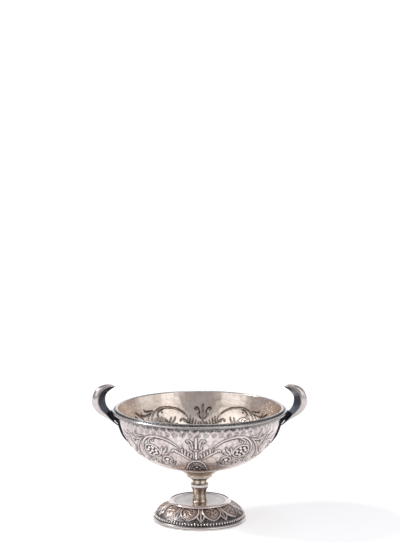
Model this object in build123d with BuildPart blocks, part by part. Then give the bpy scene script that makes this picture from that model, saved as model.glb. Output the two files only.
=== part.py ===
"""Kantharos: a footed drinking cup in chased white metal with two high horn-shaped handles.

Millimetres. The origin is the centre of the foot's underside, on the table. +Z is up,
+X points to the right-hand handle, and -Y faces the viewer.
The pieces are raised, turned or cast, and soldered together, so nothing moves.
"""

from math import asin, cos, hypot, radians, sin, tan
import os

from build123d import *

quarter_turn = 90

# Cup bowl: a flat round floor, a round belly, and a straight wall that leans out to the mouth
bowl_belly_radius = 39.5
bowl_floor_radius = 16.3
bowl_flare_degrees = 14
bowl_mouth_rise = 0.3
bowl_wall = 1.0
flare_angle = radians(bowl_flare_degrees)
bowl_flare_radius = bowl_floor_radius + bowl_belly_radius * cos(flare_angle)
bowl_flare_length = bowl_belly_radius * sin(flare_angle) + bowl_mouth_rise
bowl_mouth_radius = bowl_flare_radius + bowl_flare_length * tan(flare_angle)
bowl_lip_width = bowl_wall / cos(flare_angle)

# Rim moulding: a rolled crest over the bowl's edge, a cove and an outer bead
rim_reach = 2.9
rim_crest_rise = 0.3
rim_crest_width = 2.1
rim_crest_bulge = 0.8
rim_bead_radius = 1.05
rim_bead_drop = 1.45
rim_bead_join_angle = radians(115)
rim_cove_depth = 0.2
rim_seat_drop = 2.7
rim_radius = bowl_mouth_radius + rim_reach

# Base ring, the strip that stands on the table
base_radius = 32.2
base_ledge_width = 4.3
base_flange_height = 2.2
base_height = 3.0
base_slope_width = 1.0
base_groove_height = 1.15
base_groove_depth = 0.3
base_groove_width = 0.45
base_inner_radius = base_radius - base_ledge_width

# Beaded wire on the base ring
bead_count = 90
bead_radius = 1.03
bead_core_radius = 0.6
bead_setback = 1.8
bead_ring_radius = base_radius - bead_setback
bead_height = base_height + bead_radius

# Foot skirt, a domed sheet with ten raised leaves
skirt_slope_run = 9.57
skirt_slope_rise = 7.19
skirt_wall = 1.0
skirt_edge_overhang = 0.5
skirt_edge_clearance = 0.05
skirt_bulge = 0.95
skirt_crown_inset_share = 0.6
skirt_foot_radius = bead_ring_radius - bead_radius
skirt_edge_radius = skirt_foot_radius + skirt_edge_overhang
skirt_edge_height = base_height + 2 * bead_radius + skirt_edge_clearance
skirt_crown_radius = skirt_edge_radius - skirt_slope_run
skirt_height = skirt_edge_height + skirt_slope_rise

# Leaves on the skirt: outlines in shares of the skirt's slope and of one leaf's half width
leaf_count = 10
leaf_first_angle = 2.0
leaf_half_width = 6.7
leaf_rise = 0.5
leaf_sink = 0.3
leaf_outline_shares = [(0.1, 0.9), (0.4, 1.0), (0.72, 0.72), (0.94, 0.0)]

# Drip dish above the skirt
dish_overhang = 1.5
dish_lip_radius = 0.55
dish_lip_rise = 1.0
dish_lip_hollow = 0.275
dish_lip_join_angle = radians(60)
dish_crest_setback = 2.4
dish_crest_rise = 2.35
dish_bevel_width = 1.6
dish_floor_thickness = 0.8
dish_seat_margin = 0.3
dish_radius = skirt_crown_radius + dish_overhang
dish_crest_radius = dish_radius - dish_crest_setback
dish_floor_radius = dish_crest_radius - dish_bevel_width
dish_seat_radius = skirt_crown_radius - dish_seat_margin
dish_lip_height = skirt_height + dish_lip_rise
dish_crest_height = skirt_height + dish_crest_rise
dish_floor_height = skirt_height + dish_floor_thickness

# Stem, turned, with a round tenon at each end
stem_tenon_radius = 3.6
stem_bore_radius = 1.6
stem_base_radius = 5.6
stem_flare_height = 2.4
stem_flare_radius = 4.65
stem_flare_hollow = 0.25
stem_waist_radius = 4.45
stem_neck_radius = 5.0
stem_shoulder_radius = 5.35
stem_waist_share = 0.6
stem_lower_length = 9.4
stem_neck_length = 5.9
stem_tenon_length = 5.0
stem_shoulder_height = dish_floor_height + stem_lower_length
stem_top_height = stem_shoulder_height + stem_neck_length

# Knop ring on the stem's shoulder
knop_radius = 6.2
knop_height = 3.6
knop_foot_radius = 5.7
knop_belly_share = 0.66
knop_top_radius = 5.35

# Collar between stem and calyx
collar_radius = 8.9
collar_neck_radius = 5.6
collar_height = 3.1
collar_edge_height = 0.7
collar_edge_bulge = 0.175

# Calyx, the hollow cup that carries the bowl
calyx_foot_radius = 8.4
calyx_height = 7.0
calyx_wall = 1.2
calyx_bulge = 0.55
calyx_floor_height = stem_top_height + collar_height

# Heights at which the bowl starts and ends
bowl_underside_height = calyx_floor_height + calyx_height
bowl_belly_height = bowl_underside_height + bowl_belly_radius
bowl_mouth_height = bowl_belly_height + bowl_mouth_rise

# Handle horns: a cast crescent with a rounded back, flat cheeks and a thin inner edge
horn_reach = 14.1
horn_rise = 17.1
horn_width = 8.4
horn_edge_thickness = 0.5
horn_crease_share = 0.52
# Each row: outer point across and up, inner point across and up, then width. Across is a
# share of the reach beyond the rim, up is a share of the rise above the belly's centre.
horn_section_shares = [
    (-0.10, 0.930, -0.14, 0.890, 0.11),
    (0.11, 0.997, 0.02, 0.807, 0.36),
    (0.43, 0.971, 0.18, 0.702, 0.60),
    (0.73, 0.848, 0.29, 0.585, 0.81),
    (0.94, 0.620, 0.34, 0.444, 0.95),
    (1.00, 0.327, 0.33, 0.292, 1.00),
    (0.94, 0.100, 0.28, 0.140, 0.98),
    (0.75, -0.130, 0.17, 0.000, 0.88),
    (0.45, -0.310, 0.07, -0.130, 0.74),
    (0.17, -0.440, 0.04, -0.320, 0.52),
    (-0.05, -0.575, -0.12, -0.515, 0.31),
    (-0.25, -0.700, -0.31, -0.660, 0.12),
]

# Root of the horn, the block that seats on the rim, the wall and the strap
root_width = 5.2
root_reach = 2.6
root_depth = 1.0
root_heel_reach = 0.9
root_heel_drop = 6.2

# Straps: tapered bars that follow the bowl's wall under each horn
strap_top_drop = 7.3
strap_length_drop = 26.5
strap_top_thickness = 1.6
strap_middle_thickness = 1.8
strap_tip_thickness = 0.7
strap_width = 7.0
strap_waist_share = 0.86
strap_middle_share = 0.5
strap_overlap = 1.0

# Thickness of the solder film between the handles and the cup
solder_gap = 0.05

os.makedirs("parts", exist_ok=True)


def wall_point(angle, rise):
    """Point on the belly's outer circle, at an angle below its centre, lifted off by a rise."""
    radius = bowl_belly_radius + rise
    return (
        bowl_floor_radius + radius * cos(angle),
        bowl_belly_height - radius * sin(angle),
    )


# Bowl
belly_turn = quarter_turn - bowl_flare_degrees
lip_outer = (bowl_mouth_radius, bowl_mouth_height)
lip_inner = (bowl_mouth_radius - bowl_lip_width, bowl_mouth_height)
with BuildPart() as bowl:
    with BuildSketch(Plane.XZ):
        with BuildLine():
            Line((0, bowl_underside_height), (bowl_floor_radius, bowl_underside_height))
            outer_belly = JernArc(
                (bowl_floor_radius, bowl_underside_height), (1, 0), bowl_belly_radius, belly_turn
            )
            Polyline(outer_belly @ 1, lip_outer, lip_inner)
            inner_belly = JernArc(
                (bowl_floor_radius, bowl_underside_height + bowl_wall),
                (1, 0),
                bowl_belly_radius - bowl_wall,
                belly_turn,
            )
            Line(lip_inner, inner_belly @ 1)
            Polyline(
                (bowl_floor_radius, bowl_underside_height + bowl_wall),
                (0, bowl_underside_height + bowl_wall),
                (0, bowl_underside_height),
            )
        make_face()
    revolve(axis=Axis.Z)
bowl.part.label = "bowl"

# Rim moulding: crest over the bowl's edge, cove, outer bead and a sloping seat under it
crest_end = (lip_inner[0] + rim_crest_width, bowl_mouth_height + rim_crest_rise)
bead_centre = (rim_radius - rim_bead_radius, bowl_mouth_height - rim_bead_drop)
bead_start = (
    bead_centre[0] + rim_bead_radius * cos(rim_bead_join_angle),
    bead_centre[1] + rim_bead_radius * sin(rim_bead_join_angle),
)
bead_end = (bead_centre[0], bead_centre[1] - rim_bead_radius)
rim_seat = (bowl_mouth_radius - rim_seat_drop * tan(flare_angle), bowl_mouth_height - rim_seat_drop)
with BuildPart() as rim_moulding:
    with BuildSketch(Plane.XZ):
        with BuildLine():
            SagittaArc(lip_inner, crest_end, rim_crest_bulge)
            SagittaArc(crest_end, bead_start, -rim_cove_depth)
            ThreePointArc(bead_start, (rim_radius, bead_centre[1]), bead_end)
            Polyline(bead_end, rim_seat, lip_outer, lip_inner)
        make_face()
    revolve(axis=Axis.Z)
rim_moulding.part.label = "rim_moulding"

# Calyx: hollow, with a hole in its floor for the stem's tenon
calyx_top = (bowl_floor_radius, bowl_underside_height)
calyx_foot = (calyx_foot_radius, calyx_floor_height)
with BuildPart() as calyx:
    with BuildSketch(Plane.XZ):
        with BuildLine():
            SagittaArc(calyx_foot, calyx_top, -calyx_bulge)
            Line(calyx_top, (bowl_floor_radius - calyx_wall, bowl_underside_height))
            SagittaArc(
                (calyx_foot_radius, calyx_floor_height + calyx_wall),
                (bowl_floor_radius - calyx_wall, bowl_underside_height),
                -calyx_bulge,
            )
            Line(
                (calyx_foot_radius, calyx_floor_height + calyx_wall),
                (stem_tenon_radius, calyx_floor_height + calyx_wall),
            )
            Line(
                (stem_tenon_radius, calyx_floor_height + calyx_wall),
                (stem_tenon_radius, calyx_floor_height),
            )
            Line((stem_tenon_radius, calyx_floor_height), calyx_foot)
        make_face()
    revolve(axis=Axis.Z)
calyx.part.label = "calyx"

# Collar: a thin round edge under the calyx that narrows to the stem
collar_edge_start = calyx_floor_height - collar_edge_height
with BuildPart() as upper_collar:
    with BuildSketch(Plane.XZ):
        with BuildLine():
            Polyline(
                (collar_radius, collar_edge_start),
                (collar_neck_radius, stem_top_height),
                (stem_tenon_radius, stem_top_height),
                (stem_tenon_radius, calyx_floor_height),
                (calyx_foot_radius, calyx_floor_height),
            )
            SagittaArc(
                (calyx_foot_radius, calyx_floor_height),
                (collar_radius, collar_edge_start),
                collar_edge_bulge,
            )
        make_face()
    revolve(axis=Axis.Z)
upper_collar.part.label = "upper_collar"

# Stem: flared at its foot, waisted below a shoulder, straight above it, with a tenon at each end
stem_waist_height = dish_floor_height + stem_waist_share * (stem_shoulder_height - dish_floor_height)
stem_flare = (stem_flare_radius, dish_floor_height + stem_flare_height)
stem_foot_height = skirt_height - skirt_wall
stem_head_height = stem_top_height + stem_tenon_length
with BuildPart() as stem:
    with BuildSketch(Plane.XZ):
        with BuildLine():
            SagittaArc((stem_base_radius, dish_floor_height), stem_flare, stem_flare_hollow)
            ThreePointArc(
                stem_flare,
                (stem_waist_radius, stem_waist_height),
                (stem_shoulder_radius, stem_shoulder_height),
            )
            Polyline(
                (stem_shoulder_radius, stem_shoulder_height),
                (stem_neck_radius, stem_shoulder_height),
                (stem_neck_radius, stem_top_height),
                (stem_tenon_radius, stem_top_height),
                (stem_tenon_radius, stem_head_height),
                (stem_bore_radius, stem_head_height),
                (stem_bore_radius, stem_foot_height),
                (stem_tenon_radius, stem_foot_height),
                (stem_tenon_radius, dish_floor_height),
                (stem_base_radius, dish_floor_height),
            )
        make_face()
    revolve(axis=Axis.Z)
stem.part.label = "stem"

# Knop ring: slides down the neck onto the shoulder
knop_top_height = stem_shoulder_height + knop_height
knop_belly_height = stem_shoulder_height + knop_belly_share * knop_height
with BuildPart() as knop_ring:
    with BuildSketch(Plane.XZ):
        with BuildLine():
            ThreePointArc(
                (knop_foot_radius, stem_shoulder_height),
                (knop_radius, knop_belly_height),
                (knop_top_radius, knop_top_height),
            )
            Polyline(
                (knop_top_radius, knop_top_height),
                (stem_neck_radius, knop_top_height),
                (stem_neck_radius, stem_shoulder_height),
                (knop_foot_radius, stem_shoulder_height),
            )
        make_face()
    revolve(axis=Axis.Z)
knop_ring.part.label = "knop_ring"

# Drip dish: a flat floor, a raised crest and a rolled lip that stands clear of the skirt
lip_centre = (dish_radius - dish_lip_radius, dish_lip_height)
lip_top = (
    lip_centre[0] + dish_lip_radius * cos(dish_lip_join_angle),
    lip_centre[1] + dish_lip_radius * sin(dish_lip_join_angle),
)
lip_bottom = (lip_centre[0], lip_centre[1] - dish_lip_radius)
with BuildPart() as foot_dish:
    with BuildSketch(Plane.XZ):
        with BuildLine():
            Polyline(
                (stem_tenon_radius, dish_floor_height),
                (stem_tenon_radius, skirt_height),
                (dish_seat_radius, skirt_height),
                lip_bottom,
            )
            ThreePointArc(lip_bottom, (dish_radius, dish_lip_height), lip_top)
            SagittaArc(lip_top, (dish_crest_radius, dish_crest_height), -dish_lip_hollow)
            Polyline(
                (dish_crest_radius, dish_crest_height),
                (dish_floor_radius, dish_floor_height),
                (stem_tenon_radius, dish_floor_height),
            )
        make_face()
    revolve(axis=Axis.Z)
foot_dish.part.label = "foot_dish"

# Leaves: slices of a shell over the skirt's dome, cut to a pointed leaf in plan
skirt_crown = (skirt_crown_radius, skirt_height)
skirt_edge = (skirt_edge_radius, skirt_edge_height)
slope = (skirt_edge[0] - skirt_crown[0], skirt_edge[1] - skirt_crown[1])
slope_length = hypot(slope[0], slope[1])
outward = (-slope[1] / slope_length, slope[0] / slope_length)


def skirt_point(start, lift):
    """Move a point of the skirt's dome off the surface, square to its slope."""
    return (start[0] + outward[0] * lift, start[1] + outward[1] * lift)


leaf_top = skirt_point(skirt_crown, leaf_rise)
leaf_tip = skirt_point(skirt_edge, leaf_rise)
leaf_top_underside = skirt_point(skirt_crown, -leaf_sink)
leaf_tip_underside = skirt_point(skirt_edge, -leaf_sink)
leaf_side = [
    (skirt_crown_radius + along * skirt_slope_run, leaf_half_width * across)
    for along, across in leaf_outline_shares
]
with BuildSketch() as leaf_plan:
    with BuildLine():
        Spline(leaf_side)
        Line(leaf_side[0], (leaf_side[0][0], -leaf_side[0][1]))
        Spline([(x, -y) for x, y in leaf_side])
    make_face()
with BuildPart() as skirt_leaves:
    with BuildSketch(Plane.XZ):
        with BuildLine():
            SagittaArc(leaf_top, leaf_tip, skirt_bulge)
            Line(leaf_tip, leaf_tip_underside)
            SagittaArc(leaf_top_underside, leaf_tip_underside, skirt_bulge)
            Line(leaf_top_underside, leaf_top)
        make_face()
    revolve(axis=Axis.Z)
    with BuildSketch(Plane.XY):
        with PolarLocations(0, leaf_count, leaf_first_angle):
            add(leaf_plan.sketch)
    extrude(amount=2 * skirt_height, mode=Mode.INTERSECT)

# Foot skirt: a flat crown under the dish, the dome, and an upright foot behind the beads
crown_inset = skirt_crown_inset_share * skirt_wall
with BuildPart() as foot_skirt:
    with BuildSketch(Plane.XZ):
        with BuildLine():
            SagittaArc(skirt_crown, skirt_edge, skirt_bulge)
            Polyline(
                skirt_edge,
                (skirt_foot_radius, skirt_edge_height),
                (skirt_foot_radius, base_height),
                (skirt_foot_radius - skirt_wall, base_height),
                (skirt_foot_radius - skirt_wall, skirt_edge_height),
            )
            SagittaArc(
                (skirt_crown_radius - crown_inset, skirt_height - skirt_wall),
                (skirt_foot_radius - skirt_wall, skirt_edge_height),
                skirt_bulge,
            )
            Polyline(
                (skirt_crown_radius - crown_inset, skirt_height - skirt_wall),
                (stem_tenon_radius, skirt_height - skirt_wall),
                (stem_tenon_radius, skirt_height),
                skirt_crown,
            )
        make_face()
    revolve(axis=Axis.Z)
    add(skirt_leaves.part)
foot_skirt.part.label = "foot_skirt"

# Beaded wire: a thin round wire with ninety beads, behind the edge of the base ring
with BuildPart() as beaded_wire:
    with Locations((0, 0, bead_height)):
        Torus(bead_ring_radius, bead_core_radius)
        with PolarLocations(bead_ring_radius, bead_count):
            Sphere(bead_radius)
beaded_wire.part.label = "beaded_wire"

# Base ring: upright flange with one fine groove, and a ledge for the beads
groove_half = base_groove_width / 2
with BuildPart() as base_ring:
    with BuildSketch(Plane.XZ):
        with BuildLine():
            Polyline(
                (base_inner_radius, 0),
                (base_radius, 0),
                (base_radius, base_groove_height - groove_half),
                (base_radius - base_groove_depth, base_groove_height),
                (base_radius, base_groove_height + groove_half),
                (base_radius, base_flange_height),
                (base_radius - base_slope_width, base_height),
                (base_inner_radius, base_height),
                close=True,
            )
        make_face()
    revolve(axis=Axis.Z)
base_ring.part.label = "base_ring"

# The outside of bowl and rim together, one solder gap larger, which trims the handles to their seat
bowl_film = bowl_underside_height - solder_gap
rim_underside = rim_seat[1] - solder_gap
rim_topside = bowl_mouth_height + rim_crest_rise + rim_crest_bulge
bead_swell = rim_bead_radius + solder_gap
with BuildPart() as cup_outside:
    with BuildSketch(Plane.XZ):
        with BuildLine():
            Line((0, bowl_film), (bowl_floor_radius, bowl_film))
            film = JernArc(
                (bowl_floor_radius, bowl_film), (1, 0), bowl_belly_radius + solder_gap, belly_turn
            )
            Polyline(
                film @ 1,
                (bowl_mouth_radius + solder_gap / cos(flare_angle), bowl_mouth_height),
                (0, bowl_mouth_height),
                (0, bowl_film),
            )
        make_face()
    revolve(axis=Axis.Z)
    with BuildSketch(Plane.XZ):
        with BuildLine():
            Polyline(
                (0, rim_underside),
                (rim_seat[0] + solder_gap, rim_underside),
                (bead_centre[0], bead_centre[1] - bead_swell),
            )
            ThreePointArc(
                (bead_centre[0], bead_centre[1] - bead_swell),
                (rim_radius + solder_gap, bead_centre[1]),
                (bead_centre[0], bead_centre[1] + bead_swell),
            )
            Polyline(
                (bead_centre[0], bead_centre[1] + bead_swell),
                (bead_centre[0], rim_topside),
                (0, rim_topside),
                (0, rim_underside),
            )
        make_face()
    revolve(axis=Axis.Z)

# Right strap: a bar that follows the wall, pointed at its lower end
top_angle = asin((strap_top_drop - bowl_mouth_rise) / bowl_belly_radius)
tip_angle = asin((strap_length_drop - bowl_mouth_rise) / bowl_belly_radius)
middle_angle = top_angle + strap_middle_share * (tip_angle - top_angle)
strap_top = wall_point(top_angle, strap_top_thickness)
strap_tip = wall_point(tip_angle, strap_tip_thickness)
strap_top_height = bowl_mouth_height - strap_top_drop
strap_tip_height = strap_tip[1]
strap_outer_top = (strap_top[0], strap_top_height)
half_width = strap_width / 2
with BuildPart() as strap_right:
    with BuildSketch(Plane.XZ):
        with BuildLine():
            ThreePointArc(
                strap_outer_top,
                wall_point(middle_angle, strap_middle_thickness),
                strap_tip,
            )
            Line(strap_tip, wall_point(tip_angle, -strap_overlap))
            ThreePointArc(
                wall_point(tip_angle, -strap_overlap),
                wall_point(middle_angle, -strap_overlap),
                (wall_point(top_angle, -strap_overlap)[0], strap_top_height),
            )
            Line(
                (wall_point(top_angle, -strap_overlap)[0], strap_top_height),
                strap_outer_top,
            )
        make_face()
    extrude(amount=half_width, both=True)
    with BuildSketch(Plane.YZ):
        with BuildLine():
            Spline(
                (half_width, strap_top_height),
                (half_width * strap_waist_share, strap_top_height - strap_top_drop),
                (0, strap_tip_height),
            )
            Spline(
                (-half_width, strap_top_height),
                (-half_width * strap_waist_share, strap_top_height - strap_top_drop),
                (0, strap_tip_height),
            )
            Line((-half_width, strap_top_height), (half_width, strap_top_height))
        make_face()
    extrude(amount=rim_radius + horn_reach, mode=Mode.INTERSECT)
    add(cup_outside.part, mode=Mode.SUBTRACT)
strap_right.part.label = "strap_right"


def horn_section(outer_across, outer_up, inner_across, inner_up, width):
    """Closed outline of the horn at one station: thin inner edge, flat cheeks, rounded back."""
    outer = Vector(rim_radius + outer_across * horn_reach, 0, bowl_belly_height + outer_up * horn_rise)
    inner = Vector(rim_radius + inner_across * horn_reach, 0, bowl_belly_height + inner_up * horn_rise)
    across = outer - inner
    depth = across.length
    plane = Plane(origin=inner, x_dir=across, z_dir=across.cross(Vector(0, 1, 0)))
    crease = horn_crease_share * depth
    half = width * horn_width / 2
    edge = min(horn_edge_thickness, half) / 2
    with BuildSketch(plane) as section:
        with BuildLine():
            Line((0, -edge), (0, edge))
            Line((0, edge), (crease, half))
            ThreePointArc((crease, half), (depth, 0), (crease, -half))
            Line((crease, -half), (0, -edge))
        make_face()
    return section.sketch.face()


# Room for the strap: the strap's outline, one solder gap thicker on the outside
with BuildPart() as strap_room:
    with BuildSketch(Plane.XZ):
        with BuildLine():
            ThreePointArc(
                (strap_outer_top[0] + solder_gap, strap_top_height),
                wall_point(middle_angle, strap_middle_thickness + solder_gap),
                wall_point(tip_angle, strap_tip_thickness + solder_gap),
            )
            Polyline(
                wall_point(tip_angle, strap_tip_thickness + solder_gap),
                (0, strap_tip_height),
                (0, strap_top_height),
                (strap_outer_top[0] + solder_gap, strap_top_height),
            )
        make_face()
    extrude(amount=horn_width, both=True)

# Right horn: the crescent, its free spur and the root block, cut to the rim, wall and strap
root_top_height = bead_centre[1] + rim_bead_radius
root_outline = [
    (rim_radius + root_reach, root_top_height),
    (rim_radius - root_depth, root_top_height),
    (wall_point(top_angle, -strap_overlap)[0], strap_top_height),
    strap_outer_top,
    (rim_radius + root_heel_reach, bowl_mouth_height - root_heel_drop),
    (rim_radius + root_reach, bowl_mouth_height - strap_top_drop / 2),
]
horn_faces = [horn_section(*shares) for shares in horn_section_shares]
with BuildPart() as horn_right:
    loft(horn_faces)
    with BuildSketch(Plane.XZ):
        with BuildLine():
            Polyline(*root_outline, close=True)
        make_face()
    extrude(amount=root_width / 2, both=True)
    add(cup_outside.part, mode=Mode.SUBTRACT)
    add(strap_room.part, mode=Mode.SUBTRACT)
horn_right.part.label = "horn_right"

# Left handle: the mirror image of the right one
with BuildPart() as horn_left:
    mirror(horn_right.part, about=Plane.YZ)
horn_left.part.label = "horn_left"

with BuildPart() as strap_left:
    mirror(strap_right.part, about=Plane.YZ)
strap_left.part.label = "strap_left"

export_step(bowl.part, "parts/bowl.step")
export_step(rim_moulding.part, "parts/rim_moulding.step")
export_step(calyx.part, "parts/calyx.step")
export_step(upper_collar.part, "parts/upper_collar.step")
export_step(stem.part, "parts/stem.step")
export_step(knop_ring.part, "parts/knop_ring.step")
export_step(foot_dish.part, "parts/foot_dish.step")
export_step(foot_skirt.part, "parts/foot_skirt.step")
export_step(beaded_wire.part, "parts/beaded_wire.step")
export_step(base_ring.part, "parts/base_ring.step")
export_step(horn_right.part, "parts/horn_right.step")
export_step(horn_left.part, "parts/horn_left.step")
export_step(strap_right.part, "parts/strap_right.step")
export_step(strap_left.part, "parts/strap_left.step")
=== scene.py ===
# %% [markdown]
# # A chased silver kantharos
#
# A kantharos is a footed drinking cup with two high handles. This one is raised from silver sheet,
# chased with scrolls and rosettes, and darkened in its hollows so that the raised work stands out.
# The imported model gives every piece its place; each cell below makes one piece or one finish.

from functools import partial
from math import asin, cos, pi, radians, sin, tan

import bpy
import numpy as np
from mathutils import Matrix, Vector, kdtree


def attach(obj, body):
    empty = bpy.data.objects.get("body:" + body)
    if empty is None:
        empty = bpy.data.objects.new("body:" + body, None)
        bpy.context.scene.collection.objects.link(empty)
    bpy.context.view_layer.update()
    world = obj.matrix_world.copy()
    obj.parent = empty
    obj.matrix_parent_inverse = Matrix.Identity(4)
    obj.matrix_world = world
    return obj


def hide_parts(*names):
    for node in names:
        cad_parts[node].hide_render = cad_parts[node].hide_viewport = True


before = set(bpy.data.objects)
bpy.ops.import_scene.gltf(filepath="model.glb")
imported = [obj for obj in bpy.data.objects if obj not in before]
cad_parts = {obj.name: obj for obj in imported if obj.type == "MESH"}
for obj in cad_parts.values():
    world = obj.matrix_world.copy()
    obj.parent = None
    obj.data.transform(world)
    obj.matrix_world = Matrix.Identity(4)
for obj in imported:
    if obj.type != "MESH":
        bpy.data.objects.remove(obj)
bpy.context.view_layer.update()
MM = 0.001

# %% [markdown]
# ## Helpers for nodes, colours and meshes
#
# Silver is all about its finish, so nearly every piece gets a node material. One small function adds
# a node with its settings and links, and another turns the hex colours that a painter would write
# into the linear values that the renderer mixes. The others are short names for what comes often.

# %% Add nodes, and turn a hex colour to linear
def add_node(tree, kind, settings=None, **sockets):
    """Add a node. Settings are its properties; sockets are values, or outputs to link from."""
    made = tree.nodes.new(kind)
    for name, value in (settings or {}).items():
        setattr(made, name, value)
    for name, value in sockets.items():
        place = int(name[1:]) if name[0] == "i" and name[1:].isdigit() else name.replace("_", " ")
        socket = made.inputs[place]
        if isinstance(value, bpy.types.NodeSocket):
            tree.links.new(value, socket)
        else:
            socket.default_value = value
    return made


def maths(tree, operation, a, b=0.0, **settings):
    settings = {"operation": operation, **settings}
    return add_node(tree, "ShaderNodeMath", settings, i0=a, i1=b).outputs["Value"]


def ramp(tree, value, low, high, to_low=0.0, to_high=1.0):
    """A value carried from one range to another, and held at the ends of the range."""
    return add_node(tree, "ShaderNodeMapRange", Value=value, From_Min=low, From_Max=high,
                    To_Min=to_low, To_Max=to_high).outputs["Result"]


def empty_tree(owner):
    """The node tree of a material or world, with nothing in it."""
    owner.use_nodes = True
    owner.node_tree.nodes.clear()
    return owner.node_tree


def linear(code):
    """sRGB hex to linear RGBA."""
    parts = [int(code[i:i + 2], 16) / 255 for i in (1, 3, 5)]
    return [p / 12.92 if p <= 0.04045 else ((p + 0.055) / 1.055) ** 2.4 for p in parts] + [1.0]


# %% Make objects, and meshes from arrays
def put(name, data):
    """Put data into the scene as an object."""
    made = bpy.data.objects.new(name, data)
    bpy.context.scene.collection.objects.link(made)
    return made


def mesh_object(name, points, faces, smooth_angle=40, **fields):
    """Points in mm. Fields are numbers per point that the material reads as attributes."""
    mesh = bpy.data.meshes.new(name)
    mesh.from_pydata((np.asarray(points) * MM).tolist(), [], [list(f) for f in faces])
    for key, values in fields.items():
        data = mesh.attributes.new(key, "FLOAT", "POINT").data
        data.foreach_set("value", np.asarray(values, "f"))
    mesh.polygons.foreach_set("use_smooth", [True] * len(mesh.polygons))
    mesh.set_sharp_from_angle(angle=radians(smooth_angle))
    mesh.update()
    return put(name, mesh)


def ring_quads(rings, count, first=0, closed=False):
    """Faces from each ring of count points to the next, as an array. Closed joins the last ring to
    the first one too."""
    here = np.arange(count)
    beside = (here + 1) % count
    starts = [first + k * count for k in range(rings)] + [first] * closed
    return np.vstack([np.stack([a + here, b + here, b + beside, a + beside], axis=1)
                      for a, b in zip(starts, starts[1:])])


def tube_faces(rings, ring, flip):
    """Faces of a closed skin through rings of points, with a flat face at each end."""
    faces = []
    for k in range(0, (rings - 1) * ring, ring):
        for s in range(ring):
            n = (s + 1) % ring
            faces.append((k + s, k + n, k + ring + n, k + ring + s))
    faces += [tuple(range(ring))[::-1], tuple(range((rings - 1) * ring, rings * ring))]
    return [f[::-1] for f in faces] if flip else faces


def wear(piece, material, *nodes, slot="polished_silver"):
    """Give a piece its finish, put it on the cup's one body and hide the imported solids it stands
    for.
    """
    piece.data.materials.clear()
    piece.data.materials.append(material)
    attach(piece, "root")
    if nodes:
        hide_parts(*nodes)
    print(f"{piece.name}: {len(piece.data.polygons)} faces")


# %% [markdown]
# ## Silver finishes
#
# Polished silver is a pale, slightly warm metal. Tarnish first turns it straw coloured and brown,
# then blue-black, and a silversmith leaves that black in the hollows and polishes the high places.
# Each material therefore mixes three metals: bright silver, brown tarnish and black oxide. How
# black each place is comes from an attribute that each piece's mesh carries: mostly the oxide left
# in the hollows, and on some pieces also painted shade and painted reflection. Planishing and
# handling leave fine marks, which are two noises with sizes in millimetres.

# %% Silver material
MARK_MM, MARK_DEPTH_MM, MARK_STRENGTH = 0.8, 0.009, 0.5
BLOTCH_SPREAD = (0.36, 0.66)
MARK_SPREAD = (0.3, 0.7)
PIT_SPREAD = (0.52, 0.75)
OXIDE_SPREAD = (0.7, 1.15)
GLOSS_SPREAD = (0.75, 1.3)
OXIDE_ROUGHNESS = 0.42


def silver(name, bright, brown, black, polish, brown_amount=0.35, blotch_mm=9.0, pitting=0.18):
    """A metal that is bright where it is worn, and dark where its attribute says: oxide, and painted
    shade on some pieces.
    """
    material = bpy.data.materials.new(name)
    tree = empty_tree(material)

    def noise(size_mm, detail, roughness):
        return add_node(tree, "ShaderNodeTexNoise", Vector=place, Scale=1 / (size_mm * MM),
                        Detail=detail, Roughness=roughness).outputs["Fac"]

    def mixed(share, first, second):
        return add_node(tree, "ShaderNodeMix", {"data_type": "RGBA"}, i0=share, i6=first,
                        i7=second).outputs[2]

    place = add_node(tree, "ShaderNodeTexCoord").outputs["Object"]
    # depth is how black a place is: oxide in the hollows, and on some pieces painted shade and
    # painted reflection
    depth, warm = (add_node(tree, "ShaderNodeAttribute", {"attribute_name": field}).outputs["Fac"]
                   for field in ("oxide", "warmth"))
    blotch, speck = noise(blotch_mm, 4.0, 0.6), noise(MARK_MM, 3.0, 0.65)
    patchy = ramp(tree, blotch, *BLOTCH_SPREAD, 0.0, brown_amount)
    browned = maths(tree, "ADD", patchy, warm, use_clamp=True)
    uneven = ramp(tree, speck, *MARK_SPREAD, *OXIDE_SPREAD)
    pits = ramp(tree, speck, *PIT_SPREAD, 0.0, pitting)
    blackened = add_node(tree, "ShaderNodeMath", {"operation": "MULTIPLY_ADD", "use_clamp": True},
                         i0=depth, i1=uneven, i2=pits).outputs["Value"]
    tone = mixed(blackened, mixed(browned, linear(bright), linear(brown)), linear(black))
    gloss = ramp(tree, speck, *MARK_SPREAD, *(polish * share for share in GLOSS_SPREAD))
    rough = add_node(tree, "ShaderNodeMix", {"data_type": "FLOAT"}, i0=blackened, i2=gloss,
                     i3=OXIDE_ROUGHNESS).outputs[0]
    marks = add_node(tree, "ShaderNodeBump", Strength=MARK_STRENGTH, Distance=MARK_DEPTH_MM * MM,
                     Height=speck).outputs["Normal"]
    metal = add_node(tree, "ShaderNodeBsdfPrincipled", Base_Color=tone, Metallic=1.0,
                     Roughness=rough, Normal=marks)
    add_node(tree, "ShaderNodeOutputMaterial", Surface=metal.outputs["BSDF"])
    return material


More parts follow.
